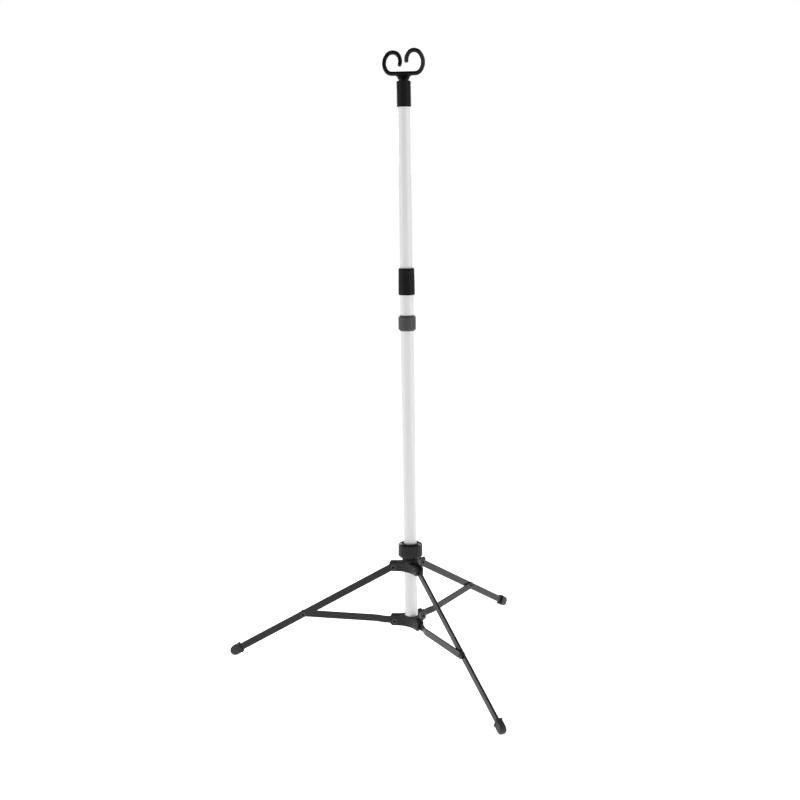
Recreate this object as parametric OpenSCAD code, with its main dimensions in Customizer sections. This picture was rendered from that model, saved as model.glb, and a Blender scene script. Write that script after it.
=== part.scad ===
// Portable folding drip stand: a telescopic pole on three folding legs,
// with a double ram's-horn hook on top.
// Origin: the point on the floor under the pole's axis. +Z up. Leg 1 points to -X.
// The stand is drawn open, with its pole partly drawn out.

/* [Pole] */
// Outside diameter of the lower pole tube
outer_tube_d = 28.58; // [28:0.01:29]
// Wall of the lower pole tube
outer_wall = 1.2; // [1:0.1:1.4]
// Outside diameter of the upper pole tube
inner_tube_d = 25.4; // [25:0.1:25.6]
// Wall of the upper pole tube
inner_wall = 1.2; // [1:0.1:1.5]
// Height of the lower tube's top end
outer_top = 848; // [840:1:850]
// Height of the upper tube's bottom end
inner_bottom = 432; // [430:1:470]
// Height of the upper tube's top end
inner_top = 1227; // [1224:1:1228]

/* [Legs] */
// Radius of the pivots on the sliding hub
upper_pivot_r = 36.5; // [36:0.1:37]
// Height of the pivots on the sliding hub
upper_pivot_z = 212.5; // [211:0.1:214]
// Radius of the pivots on the fixed hub
lower_pivot_r = 36; // [35.5:0.1:36.5]
// Height of the pivots on the fixed hub
lower_pivot_z = 88.5; // [87:0.1:90]
// Radius of the knee pivots
knee_r = 240; // [236:0.5:244]
// Height of the knee pivots
knee_z = 98; // [95:0.5:101]
// Depth of the flat leg tube
leg_h = 15; // [14:0.1:15.4]
// Thickness of the flat leg tube
leg_t = 5; // [4.6:0.1:5.2]
// Wall of the flat leg tube
leg_wall = 1; // [0.8:0.1:1.2]
// Depth of the flat brace bar
brace_h = 15.4; // [14:0.1:15.6]
// Thickness of the flat brace bar
brace_t = 3.2; // [2.6:0.1:3.4]
// Sideways offset of the brace where it passes the leg
brace_offset = 4.6; // [4.6:0.1:5.2]

/* [Hubs] */
// Width of an arm of the sliding hub
upper_arm_w = 17; // [16:0.5:18]
// Slot in an arm of the sliding hub
upper_slot = 5.8; // [5.6:0.1:6.4]
// Width of an arm of the fixed hub
lower_arm_w = 15.4; // [14.4:0.2:16]
// Slot in an arm of the fixed hub
lower_slot = 4; // [3.8:0.1:4.4]
// Outer radius of the hub arms
arm_r = 47; // [46:0.5:48]

/* [Lock nut] */
// Largest diameter of the fluted lock nut
nut_d = 52.6; // [51:0.2:53]
// Height of the lock nut
nut_h = 30.2; // [29.6:0.1:30.6]
// Number of flutes around the lock nut
flutes = 16; // [12:1:20]

/* [Feet] */
// Height of a foot cap across the leg
foot_h = 21.6; // [20.8:0.2:22]
// Thickness of a foot cap
foot_t = 12.4; // [11:0.2:13]

/* [Hook] */
// Diameter of the hook's rod
rod_d = 8.6; // [8:0.1:9]
// Height of the bar that joins the two loops
bar_z = 1247.5; // [1246:0.5:1249]
// Height of a loop, measured along its leaning plane
loop_h = 47; // [45:0.5:49]
// Lean of each loop, one backwards and one forwards
loop_lean = 22.5; // [18:0.5:26]

/* [Hidden] */
$fn = 72;
e = 0.02;

ro = outer_tube_d / 2;
ri = ro - outer_wall;
mo = inner_tube_d / 2;
mi = mo - inner_wall;
run = 0.06;

// Heights of the main pieces.
lower_hub_z0 = 78;
lower_hub_z1 = 101.5;
upper_hub_z0 = 202.5;
upper_hub_z1 = 223;
neck_r = 18;
neck_z1 = 254.2;
nut_z0 = 236;
tube_bottom = 84;

// The linkage.
leg_len = sqrt(pow(knee_r - upper_pivot_r, 2) + pow(upper_pivot_z - knee_z, 2));
leg_a = atan2(upper_pivot_z - knee_z, knee_r - upper_pivot_r);
brace_len = sqrt(pow(knee_r - lower_pivot_r, 2) + pow(knee_z - lower_pivot_z, 2));
brace_a = atan2(knee_z - lower_pivot_z, knee_r - lower_pivot_r);

// The foot cap's round tip stands 1.2 mm into the floor plane and is cut flat there.
foot_r = foot_h / 2;
foot_s = (upper_pivot_z - (foot_r - 1.2)) / sin(leg_a);
foot_s0 = foot_s - 16.5;
leg_end = foot_s - 2;

// Tubular rivets.
rivet_shank = 4;
rivet_bore = 3;
rivet_head = 6.2;
rivet_head_t = 1.2;
spot_t = 0.1;

// A leg's own direction: leg i lies along this, with its width along local Y.
module leg_frame(i) { rotate([0, 0, 180 + 120 * (i - 1)]) children(); }
module along_leg() { translate([upper_pivot_r, 0, upper_pivot_z]) rotate([0, leg_a, 0]) children(); }
module along_brace() { translate([lower_pivot_r, 0, lower_pivot_z]) rotate([0, -brace_a, 0]) children(); }

// A cylinder along local Y from y0 to y1.
module pin_y(r, y0, y1) { translate([0, y0, 0]) rotate([-90, 0, 0]) cylinder(r = r, h = y1 - y0); }

module ring(r1, r2, z0, z1) {
  translate([0, 0, z0]) difference() {
    cylinder(r = r2, h = z1 - z0);
    translate([0, 0, -1]) cylinder(r = r1, h = z1 - z0 + 2);
  }
}

// ---------- Hubs ----------

// The side view of a hub arm: its outer corners are cut off.
module arm_profile(z0, z1) {
  polygon([[24, z0], [arm_r - 5, z0], [arm_r, z0 + 5.5], [arm_r, z1 - 5.5], [arm_r - 3.4, z1], [24, z1]]);
}

// Three arms at 120 degrees, joined by concave walls that run into the arms' sides.
module hub_body(z0, z1, w, body_r) {
  hw = w / 2;
  dc = 66;
  rho = dc * sin(60) - hw;
  tr = dc * cos(60);
  for (i = [1 : 3]) leg_frame(i)
    translate([0, hw, 0]) rotate([90, 0, 0]) linear_extrude(height = w) arm_profile(z0, z1);
  translate([0, 0, z0]) linear_extrude(height = z1 - z0) difference() {
    polygon([for (i = [0 : 2]) for (s = [-1, 1])
      [tr * cos(180 + 120 * i) - s * hw * sin(180 + 120 * i), tr * sin(180 + 120 * i) + s * hw * cos(180 + 120 * i)]]);
    for (i = [0 : 2]) rotate(240 + 120 * i) translate([dc, 0]) circle(r = rho, $fn = 180);
  }
  translate([0, 0, z0]) cylinder(r = body_r, h = z1 - z0);
}

module arm_slots(z0, z1, slot, slot_r) {
  for (i = [1 : 3]) leg_frame(i)
    translate([slot_r, -slot / 2, z0 - 1]) cube([arm_r, slot, z1 - z0 + 2]);
}

// Rivet bores, with a shallow spot face on each side that seats the rivet's head.
module arm_bores(r, z, w) {
  for (i = [1 : 3]) leg_frame(i) translate([r, 0, z]) {
    pin_y(rivet_shank + 0.03, -20, 20);
    for (y = [-w / 2 + spot_t - 4, w / 2 - spot_t]) pin_y(rivet_head + 0.25, y, y + 4);
  }
}

// A tubular rivet between y0 and y1, with a rolled head at each end.
module rivet(y0, y1) {
  difference() {
    union() {
      pin_y(rivet_shank, y0, y1);
      pin_y(rivet_head, y0 - rivet_head_t, y0);
      pin_y(rivet_head, y1, y1 + rivet_head_t);
    }
    pin_y(rivet_bore, y0 - 5, y1 + 5);
  }
}

module lower_hub() {
  color([0.1, 0.1, 0.1]) difference() {
    hub_body(lower_hub_z0, lower_hub_z1, lower_arm_w, 17.6);
    translate([0, 0, tube_bottom]) cylinder(r = ro, h = 40);
    translate([0, 0, lower_hub_z0 - 1]) cylinder(r = 2.6, h = 20);
    translate([0, 0, lower_hub_z0 - 1]) cylinder(r = 5.4, h = 3.6);
    arm_slots(lower_hub_z0, lower_hub_z1, lower_slot, 27.6);
    arm_bores(lower_pivot_r, lower_pivot_z, lower_arm_w);
  }
}

module upper_hub() {
  color([0.1, 0.1, 0.1]) difference() {
    union() {
      hub_body(upper_hub_z0, upper_hub_z1, upper_arm_w, 18.4);
      translate([0, 0, upper_hub_z1 - 4]) cylinder(r = neck_r, h = neck_z1 - upper_hub_z1 + 4);
    }
    translate([0, 0, upper_hub_z0 - 1]) cylinder(r = ro + run, h = 80);
    arm_slots(upper_hub_z0, upper_hub_z1, upper_slot, 28.2);
    arm_bores(upper_pivot_r, upper_pivot_z, upper_arm_w);
    // Three saw cuts let the top of the neck close on the tube.
    for (i = [0 : 2]) rotate([0, 0, 60 + 120 * i])
      translate([0, -0.8, 241]) cube([30, 1.6, 20]);
  }
}

module lower_hub_rivets() {
  color([0.16, 0.16, 0.16]) for (i = [1 : 3]) leg_frame(i)
    translate([lower_pivot_r, 0, lower_pivot_z]) rivet(-lower_arm_w / 2 + spot_t, lower_arm_w / 2 - spot_t);
}

module upper_hub_rivets() {
  color([0.16, 0.16, 0.16]) for (i = [1 : 3]) leg_frame(i)
    translate([upper_pivot_r, 0, upper_pivot_z]) rivet(-upper_arm_w / 2 + spot_t, upper_arm_w / 2 - spot_t);
}

// ---------- Lock nut of the sliding hub ----------

module clamp_ring() {
  color([0.2, 0.2, 0.2]) difference() {
    rotate_extrude($fn = 96) polygon([[ro + run, 254.6], [17.6, 254.6], [17.6, 257.4], [16.4, 262.2], [ro + run, 262.2]]);
    translate([0, -0.8, 250]) cube([30, 1.6, 20]);
  }
}

module lock_nut() {
  nr = nut_d / 2;
  z0 = nut_z0;
  z1 = nut_z0 + nut_h;
  color([0.09, 0.09, 0.09]) difference() {
    rotate_extrude($fn = 96) polygon([
      [neck_r + 0.35, z0], [nr - 1.6, z0], [nr, z0 + 2], [nr - 0.4, z1 - 4],
      [nr - 7.6, z1], [ro + 0.6, z1], [ro + 0.6, z1 - 3.6], [neck_r + 0.35, z1 - 3.6]]);
    for (i = [0 : flutes - 1]) rotate([0, 0, (i + 0.5) * 360 / flutes])
      translate([nr + 1.1, 0, z0 - 1]) cylinder(r = 2.3, h = nut_h + 2, $fn = 24);
  }
}

// ---------- Legs, braces and feet ----------

// Side view of a flat piece from its rounded pivot end at 0 to x1.
module rounded_end_profile(x1, h) {
  translate([0, -h / 2]) square([x1, h]);
  circle(r = h / 2);
}

// The leg tube's outer skin along local X, from x0 to x1.
module leg_skin(x0, x1, h, t) {
  translate([x0, 0, 0]) rotate([0, 90, 0]) linear_extrude(height = x1 - x0)
    union() {
      r = 1.2;
      square([h - 2 * r, t], center = true);
      square([h, t - 2 * r], center = true);
      for (x = [-1, 1]) for (y = [-1, 1])
        translate([x * (h / 2 - r), y * (t / 2 - r)]) circle(r = r, $fn = 32);
    }
}

module leg(i) {
  color([0.12, 0.12, 0.12]) leg_frame(i) along_leg() difference() {
    intersection() {
      leg_skin(-leg_h, leg_end, leg_h, leg_t);
      translate([0, leg_t, 0]) rotate([90, 0, 0]) linear_extrude(height = 2 * leg_t) rounded_end_profile(leg_end + 5, leg_h);
    }
    translate([-leg_h, -(leg_t - 2 * leg_wall) / 2, -(leg_h - 2 * leg_wall) / 2])
      cube([leg_end + 2 * leg_h, leg_t - 2 * leg_wall, leg_h - 2 * leg_wall]);
    pin_y(rivet_shank + run, -10, 10);
    translate([leg_len, 0, 0]) pin_y(rivet_shank, -10, 10);
  }
}

module foot(i) {
  color([0.13, 0.13, 0.13]) leg_frame(i) difference() {
    along_leg() difference() {
      union() {
        translate([foot_s, foot_t / 2, 0]) rotate([90, 0, 0]) cylinder(r = foot_r, h = foot_t);
        translate([foot_s0 + 1, -foot_t / 2, -foot_r]) cube([foot_s - foot_s0 - 1, foot_t, foot_h]);
        translate([foot_s0, -foot_t / 2 - 0.7, -foot_r - 0.7]) cube([4, foot_t + 1.4, foot_h + 1.4]);
      }
      leg_skin(foot_s0 - 5, leg_end, leg_h, leg_t);
    }
    translate([0, -50, -60]) cube([500, 100, 60]);
  }
}

// The brace is a flat bar, set over sideways beyond the hub so that it passes beside the leg.
module brace(i) {
  s0 = 20;
  s1 = 46;
  ht = brace_t / 2;
  color([0.12, 0.12, 0.12]) leg_frame(i) along_brace() difference() {
    intersection() {
      translate([0, 0, -brace_h]) linear_extrude(height = 2 * brace_h) polygon([
        [-brace_h, ht], [s0, ht], [s1, ht - brace_offset], [brace_len + brace_h, ht - brace_offset],
        [brace_len + brace_h, -ht - brace_offset], [s1, -ht - brace_offset], [s0, -ht], [-brace_h, -ht]]);
      translate([0, 20, 0]) rotate([90, 0, 0]) linear_extrude(height = 40) union() {
        rounded_end_profile(brace_len, brace_h);
        translate([brace_len, 0]) circle(r = brace_h / 2);
      }
    }
    pin_y(rivet_shank + run, -10, 10);
    translate([brace_len, 0, 0]) pin_y(rivet_shank, -20, 10);
  }
}

// The leg's half of the knee rivet: its head is on the side away from the brace.
module knee_rivet(i) {
  color([0.16, 0.16, 0.16]) leg_frame(i) translate([knee_r, 0, knee_z]) difference() {
    union() {
      pin_y(rivet_shank, -leg_t / 2, leg_t / 2 + e);
      pin_y(rivet_head, leg_t / 2, leg_t / 2 + rivet_head_t);
    }
    pin_y(rivet_bore, -10, 10);
  }
}

// The brace's half of the knee rivet: its head is on the brace's outer side.
module knee_cap(i) {
  y0 = -brace_offset - brace_t / 2;
  color([0.16, 0.16, 0.16]) leg_frame(i) translate([knee_r, 0, knee_z]) difference() {
    union() {
      pin_y(rivet_shank, y0 - e, y0 + brace_t);
      pin_y(rivet_head, y0 - rivet_head_t, y0);
    }
    pin_y(rivet_bore, -20, 10);
  }
}

module leg_1() { leg(1); }
module leg_2() { leg(2); }
module leg_3() { leg(3); }
module foot_1() { foot(1); }
module foot_2() { foot(2); }
module foot_3() { foot(3); }
module brace_1() { brace(1); }
module brace_2() { brace(2); }
module brace_3() { brace(3); }
module knee_rivet_1() { knee_rivet(1); }
module knee_rivet_2() { knee_rivet(2); }
module knee_rivet_3() { knee_rivet(3); }
module knee_cap_1() { knee_cap(1); }
module knee_cap_2() { knee_cap(2); }
module knee_cap_3() { knee_cap(3); }

// ---------- Pole ----------

module outer_tube() { color([0.9, 0.9, 0.9]) ring(ri, ro, tube_bottom, outer_top); }

// Plastic plug pressed into the bottom of the lower tube, for the base screw.
module tube_plug() {
  color([0.25, 0.25, 0.25]) difference() {
    translate([0, 0, tube_bottom]) cylinder(r = ri, h = 14);
    translate([0, 0, tube_bottom - 1]) cylinder(r = 2.4, h = 12);
  }
}

module base_screw() {
  color([0.6, 0.6, 0.6]) difference() {
    union() {
      translate([0, 0, 80.6]) cylinder(r = 2.4, h = 13);
      translate([0, 0, 78.2]) cylinder(r = 4.6, h = 2.4);
    }
    for (a = [0, 90]) rotate([0, 0, a]) translate([-2.4, -0.5, 78]) cube([4.8, 1, 1.6]);
  }
}

module pole_ring() {
  color([0.38, 0.38, 0.38]) rotate_extrude($fn = 96) polygon([
    [ro, 727], [15.6, 727], [18.4, 730], [18.4, 756.8], [15.6, 759.8], [ro, 759.8]]);
}

// Collet on the lower tube's top end: a sleeve with slotted fingers that close on the upper tube.
module collet_body() {
  color([0.15, 0.15, 0.15]) difference() {
    rotate_extrude($fn = 96) polygon([
      [ro, 806], [15.2, 806], [15.2, 851], [14.6, 854.6], [mo + run, 854.6], [mo + run, outer_top], [ro, outer_top]]);
    for (i = [0 : 2]) rotate([0, 0, 60 * i]) translate([-30, -0.6, outer_top + 1.4]) cube([60, 1.2, 20]);
  }
}

module twist_collar() {
  color([0.07, 0.07, 0.07]) rotate_extrude($fn = 96) polygon([
    [15.5, 802.2], [16.3, 802.2], [17.2, 803.6], [16.5, 856], [15.8, 857.6], [13.1, 857.6],
    [13.1, 855.2], [15.5, 855.2]]);
}

module inner_tube() { color([0.9, 0.9, 0.9]) ring(mi, mo, inner_bottom, inner_top); }

// Plug in the upper tube's bottom end: it guides the upper tube inside the lower one.
module guide_plug() {
  color([0.8, 0.8, 0.8]) rotate_extrude($fn = 96) polygon([
    [8, inner_bottom - 8], [ri - run, inner_bottom - 8], [ri - run, inner_bottom - run],
    [mi - run, inner_bottom - run], [mi - run, inner_bottom + 24], [8, inner_bottom + 24]]);
}

module top_sleeve() {
  color([0.07, 0.07, 0.07]) rotate_extrude($fn = 96) polygon([
    [mo, 1182], [14, 1182], [14.6, 1182.8], [14.6, 1231.8], [13.6, 1233], [mo, 1233]]);
}

// ---------- Hook ----------

// Points on an arc of radius r about [cx, cz], from angle a0 to a1.
function arc(cx, cz, r, a0, a1, n) = [for (k = [1 : n]) let (a = a0 + (a1 - a0) * k / n) [cx + r * cos(a), cz + r * sin(a)]];

// One loop in its own plane, drawn for the right side: a four-centre oval of height h and half width b,
// that leaves the bar at [cx, 0], goes round, and curls in by the angle tip past its inner side.
function loop_points(cx, b, tip, h, curl) =
  let (a = h / 2, r1 = b * 0.82,
       rs = (pow(a - r1, 2) + b * b - r1 * r1) / (2 * (b - r1)),
       t = atan2(a - r1, rs - b), r2 = b * curl,
       c2x = cx + (r2 - r1) * cos(t), c2z = 2 * a - r1 + (r1 - r2) * sin(t))
  concat([[cx, 0]], arc(cx, r1, r1, -90, -t, 8), arc(cx + b - rs, a, rs, -t, t, 9),
    arc(cx, 2 * a - r1, r1, t, 180 - t, 14), arc(c2x, c2z, r2, 180 - t, 180 - t + tip, 8));

// A loop's points leaned about the bar: side 1 is the right loop, side -1 the left.
function lean(pts, side) = [for (p = pts) [side * p[0], -side * p[1] * sin(loop_lean), bar_z + p[1] * cos(loop_lean)]];
function backwards(v) = [for (k = [len(v) - 1 : -1 : 0]) v[k]];

module rod_sweep(path, tilt, r, sides) {
  n = len(path);
  caps = [80, 60, 40, 20];
  dirs = [for (k = [0 : n - 1]) let (d = path[min(k + 1, n - 1)] - path[max(k - 1, 0)]) d / norm(d)];
  // Ring centres, radii and directions, with a round end at each tip.
  rings = concat(
    [for (c = caps) [path[0] - dirs[0] * r * sin(c), r * cos(c), 0]],
    [for (k = [0 : n - 1]) [path[k], r, k]],
    [for (c = backwards(caps)) [path[n - 1] + dirs[n - 1] * r * sin(c), r * cos(c), n - 1]]);
  m = len(rings);
  pts = [for (g = rings) let (t = dirs[g[2]], n1 = [0, cos(tilt[g[2]]), sin(tilt[g[2]])],
      u = (n1 - t * (n1 * t)) / norm(n1 - t * (n1 * t)), v = cross(t, u))
    for (s = [0 : sides - 1]) g[0] + g[1] * (cos(360 * s / sides) * u + sin(360 * s / sides) * v)];
  faces = concat([[for (s = [0 : sides - 1]) s]],
    [for (k = [0 : m - 2]) for (s = [0 : sides - 1]) let (a = k * sides + s, b = k * sides + (s + 1) % sides) each [[a, a + sides, b], [b, a + sides, b + sides]]],
    [[for (s = [sides - 1 : -1 : 0]) (m - 1) * sides + s]]);
  polyhedron(points = pts, faces = faces, convexity = 6);
}

module hook() {
  right = lean(loop_points(23, 17.2, 40, loop_h - 0.5, 1.35), 1);
  left = backwards(lean(loop_points(23.3, 16.8, 50, loop_h, 1.5), -1));
  bar = [for (k = [1 : 5]) [-23.3 + 46.3 * k / 6, 0, bar_z]];
  tilt = concat([for (p = left) -loop_lean], [for (k = [1 : 5]) loop_lean * (k / 3 - 1)], [for (p = right) loop_lean]);
  color([0.06, 0.06, 0.06]) union() {
    rod_sweep(concat(left, bar, right), tilt, rod_d / 2, 20);
    // Flared neck: wide and thin at the bar, round at the sleeve.
    intersection() {
      translate([0, 20, 0]) rotate([90, 0, 0]) linear_extrude(height = 40)
        polygon([[-10.6, 1232], [10.6, 1232], [10.6, 1235], [17.4, bar_z - 2], [17.4, bar_z], [-17.4, bar_z], [-17.4, bar_z - 2], [-10.6, 1235]]);
      rotate([90, 0, 90]) translate([0, 0, -20]) linear_extrude(height = 40)
        polygon([[-10.6, 1232], [10.6, 1232], [10.6, 1235], [3.6, bar_z], [-3.6, bar_z], [-10.6, 1235]]);
      translate([0, 0, 1232]) cylinder(r1 = 10.3, r2 = 22, h = bar_z - 1232);
    }
    translate([0, 0, inner_top]) cylinder(r = mo, h = 5);
    translate([0, 0, inner_top + 4]) cylinder(r = 10, h = 4.6);
    translate([0, 0, inner_top - 30]) cylinder(r = mi, h = 31);
  }
}

outer_tube();
lower_hub();
lower_hub_rivets();
tube_plug();
base_screw();
pole_ring();
collet_body();
twist_collar();
upper_hub();
upper_hub_rivets();
clamp_ring();
lock_nut();
leg_1();
leg_2();
leg_3();
foot_1();
foot_2();
foot_3();
brace_1();
brace_2();
brace_3();
knee_rivet_1();
knee_rivet_2();
knee_rivet_3();
knee_cap_1();
knee_cap_2();
knee_cap_3();
guide_plug();
inner_tube();
top_sleeve();
hook();
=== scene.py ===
import math

import bmesh
import bpy
import numpy as np
from mathutils import Matrix, Vector
from mathutils.geometry import delaunay_2d_cdt

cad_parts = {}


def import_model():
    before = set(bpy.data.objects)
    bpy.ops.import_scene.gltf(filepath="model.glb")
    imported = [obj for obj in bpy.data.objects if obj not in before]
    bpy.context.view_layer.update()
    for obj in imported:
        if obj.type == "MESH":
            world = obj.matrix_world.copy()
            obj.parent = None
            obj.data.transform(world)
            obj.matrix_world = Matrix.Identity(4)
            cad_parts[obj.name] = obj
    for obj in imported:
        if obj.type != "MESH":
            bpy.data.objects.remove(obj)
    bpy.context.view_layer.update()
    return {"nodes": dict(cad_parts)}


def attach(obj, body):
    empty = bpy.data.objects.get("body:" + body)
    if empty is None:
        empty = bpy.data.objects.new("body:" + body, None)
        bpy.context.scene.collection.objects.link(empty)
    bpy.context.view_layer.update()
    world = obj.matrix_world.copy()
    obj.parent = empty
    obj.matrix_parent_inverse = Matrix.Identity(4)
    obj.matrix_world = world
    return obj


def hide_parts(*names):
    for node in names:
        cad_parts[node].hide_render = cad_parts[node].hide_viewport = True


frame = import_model()
MM = 0.001

# ------------------------------------------------------------------ camera
# The camera's place comes from the pole, pivots and feet; azimuths are about the pole.
CAM_D, CAM_H = 2.3620, 1.0064
PITCH, ROLL, PAN, TURN = (math.radians(a) for a in (10.242, 0.907, -0.4241, 5.1))
FOCAL_PX = 1133.0


def make_camera():
    r0 = Vector((math.cos(PAN), -math.sin(PAN), 0))
    g0 = Vector((math.sin(PAN), math.cos(PAN), 0))
    z = Vector((0, 0, 1))
    fwd = g0 * math.cos(PITCH) - z * math.sin(PITCH)
    up0 = g0 * math.sin(PITCH) + z * math.cos(PITCH)
    right = r0 * math.cos(ROLL) - up0 * math.sin(ROLL)
    up = r0 * math.sin(ROLL) + up0 * math.cos(ROLL)
    turn = Matrix.Rotation(TURN, 3, "Z")
    rot = Matrix((turn @ right, turn @ up, turn @ -fwd)).transposed().to_4x4()
    data = bpy.data.cameras.new("view")
    data.sensor_width = 36.0
    data.lens = FOCAL_PX / 800 * 36.0
    data.clip_start, data.clip_end = 0.05, 60
    cam = bpy.data.objects.new("view", data)
    cam.matrix_world = Matrix.Translation(turn @ Vector((0, -CAM_D, CAM_H))) @ rot
    bpy.context.scene.collection.objects.link(cam)
    bpy.context.scene.camera = cam


make_camera()


# ------------------------------------------------------------------ nodes
class Tree:
    """A small helper that builds a material's nodes."""

    def __init__(self, name):
        self.m = bpy.data.materials.new(name)
        self.m.use_nodes = True
        self.t = self.m.node_tree
        self.shader = self.t.nodes["Principled BSDF"]
        self.where = self.t.nodes.new("ShaderNodeTexCoord").outputs["Object"]

    def node(self, kind, **values):
        n = self.t.nodes.new(kind)
        for k, v in values.items():
            setattr(n, k, v)
        return n

    def link(self, a, b):
        self.t.links.new(a, b)

    def mapped(self, scale, rotation=(0, 0, 0)):
        n = self.node("ShaderNodeMapping")
        n.inputs["Scale"].default_value = scale
        n.inputs["Rotation"].default_value = rotation
        self.link(self.where, n.inputs["Vector"])
        return n.outputs[0]

    def noise(self, size_mm, detail=3.0, rough=0.5, stretch=(1, 1, 1), warp=0.0):
        """Noise whose features are about size_mm across, stretched by dividing each axis's frequency."""
        n = self.node("ShaderNodeTexNoise")
        n.inputs["Scale"].default_value = 1.0
        n.inputs["Detail"].default_value = detail
        n.inputs["Roughness"].default_value = rough
        n.inputs["Distortion"].default_value = warp
        k = 1000.0 / size_mm
        self.link(self.mapped(tuple(k / s for s in stretch)), n.inputs["Vector"])
        return n.outputs["Fac"]

    def cells(self, size_mm, feature="F1"):
        n = self.node("ShaderNodeTexVoronoi", feature=feature)
        n.inputs["Scale"].default_value = 1.0
        k = 1000.0 / size_mm
        self.link(self.mapped((k, k, k)), n.inputs["Vector"])
        return n.outputs["Distance"]

    def remap(self, value, a, b, c, d):
        n = self.node("ShaderNodeMapRange")
        n.clamp = True
        self.link(value, n.inputs["Value"])
        for k, v in (("From Min", a), ("From Max", b), ("To Min", c), ("To Max", d)):
            n.inputs[k].default_value = v
        return n.outputs["Result"]

    def math(self, op, a, b=None):
        n = self.node("ShaderNodeMath", operation=op)
        for i, v in enumerate((a, b)):
            if v is None:
                continue
            if isinstance(v, (int, float)):
                n.inputs[i].default_value = v
            else:
                self.link(v, n.inputs[i])
        return n.outputs[0]

    def mix(self, fac, a, b):
        n = self.node("ShaderNodeMix", data_type="RGBA")
        self.link(fac, n.inputs["Factor"])
        for key, v in (("A", a), ("B", b)):
            s = [i for i in n.inputs if i.name == key and i.type == "RGBA"][0]
            if isinstance(v, tuple):
                s.default_value = (*v, 1.0)
            else:
                self.link(v, s)
        return [o for o in n.outputs if o.type == "RGBA"][0]

    def edges(self, radius_mm):
        """1 along convex and concave edges, 0 on flats."""
        b = self.node("ShaderNodeBevel", samples=4)
        b.inputs["Radius"].default_value = radius_mm * MM
        g = self.node("ShaderNodeNewGeometry")
        d = self.node("ShaderNodeVectorMath", operation="DOT_PRODUCT")
        self.link(b.outputs["Normal"], d.inputs[0])
        self.link(g.outputs["Normal"], d.inputs[1])
        return self.remap(d.outputs["Value"], 0.90, 0.995, 1.0, 0.0)

    def height(self):
        s = self.node("ShaderNodeSeparateXYZ")
        self.link(self.where, s.inputs[0])
        return s.outputs["Z"]

    def bump(self, layers):
        """layers: (height socket, depth in micrometres)."""
        before = None
        for value, depth in layers:
            n = self.node("ShaderNodeBump")
            n.inputs["Strength"].default_value = 1.0
            n.inputs["Distance"].default_value = depth * 1e-6
            self.link(value, n.inputs["Height"])
            if before is not None:
                self.link(before, n.inputs["Normal"])
            before = n.outputs[0]
        self.link(before, self.shader.inputs["Normal"])

    def colour(self, socket):
        self.link(socket, self.shader.inputs["Base Color"])

    def rough(self, socket):
        self.link(socket, self.shader.inputs["Roughness"])

    def fixed(self, **values):
        for k, v in values.items():
            self.shader.inputs[k.replace("_", " ")].default_value = v


def grey(v, warm=0.0):
    return (v * (1 + warm), v, v * (1 - warm))


def white_tube(name, streaks):
    """Satin white coated tube: faint drawn lines along it, orange peel, and rubbing marks."""
    t = Tree(name)
    lines = t.noise(0.5, 2, 0.6, stretch=(1, 1, 90))
    broad = t.noise(7, 2, 0.5, stretch=(1, 1, 30))
    peel = t.noise(1.6, 2, 0.5)
    rub = t.remap(t.noise(1.4, 3, 0.65, stretch=(1, 1, 60)), 0.60, 0.72, 0.0, streaks)
    base = t.mix(t.remap(broad, 0.3, 0.7, 0, 1), (0.685, 0.690, 0.688), (0.72, 0.724, 0.72))
    t.colour(t.mix(rub, base, (0.62, 0.62, 0.61)))
    t.rough(t.remap(t.math("ADD", lines, t.math("MULTIPLY", rub, 0.6)), 0.3, 1.0, 0.27, 0.44))
    t.bump([(peel, 9), (lines, 5)])
    t.fixed(Specular_IOR_Level=0.5, Coat_Weight=0.25, Coat_Roughness=0.22)
    return t.m


def black_plastic(name, base=0.0155, rough=0.40, grain=0.32, depth=22, edge_wear_and_highlight=0.35, gloss=0.19):
    """Moulded black plastic: fine spark-eroded grain, faint flow marks, and edges painted lighter, partly as rubbed
    wear and partly as a painted highlight.
    """
    t = Tree(name)
    fine = t.noise(grain, 2, 0.6)
    cells = t.cells(grain * 2.4)
    flow = t.noise(16, 3, 0.55, warp=0.6)
    scuff = t.remap(t.noise(2.2, 4, 0.7, stretch=(5, 1, 1)), 0.66, 0.76, 0.0, 0.5)
    body = t.mix(t.remap(flow, 0.3, 0.7, 0, 1), grey(base * 0.86), grey(base * 1.16))
    body = t.mix(scuff, body, grey(base * 2.0))
    # Lighter edges, patchy: partly rubbed wear, partly a painted edge highlight.
    edge = t.math("MULTIPLY", t.edges(0.7), t.remap(t.noise(3.5, 3, 0.6), 0.4, 0.65, 0.0, edge_wear_and_highlight))
    t.colour(t.mix(edge, body, grey(base * 3.0)))
    t.rough(t.remap(t.math("ADD", flow, t.math("MULTIPLY", fine, 0.5)), 0.45, 1.05, rough - 0.06, rough + 0.08))
    t.bump([(cells, depth), (fine, depth * 0.4)])
    t.fixed(Specular_IOR_Level=gloss)
    return t.m


def gloss_black(name, base=0.010, rough=0.22, gloss=0.3):
    """Smooth black moulding: slight sink and flow unevenness, fine handling scratches."""
    t = Tree(name)
    flow = t.noise(9, 2, 0.5, warp=0.5)
    hair = t.remap(t.noise(0.35, 3, 0.6, stretch=(14, 14, 1)), 0.62, 0.70, 0.0, 1.0)
    dust = t.remap(t.cells(2.2), 0.0, 0.11, 0.5, 0.0)
    body = t.mix(t.remap(flow, 0.3, 0.7, 0, 1), grey(base * 0.8), grey(base * 1.3))
    t.colour(t.mix(dust, body, grey(0.035)))
    t.rough(t.math("ADD", t.remap(flow, 0.3, 0.7, rough - 0.04, rough + 0.05), t.math("MULTIPLY", hair, 0.08)))
    t.bump([(flow, 60), (t.noise(0.9, 2, 0.5), 3)])
    t.fixed(Specular_IOR_Level=gloss)
    return t.m


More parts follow.
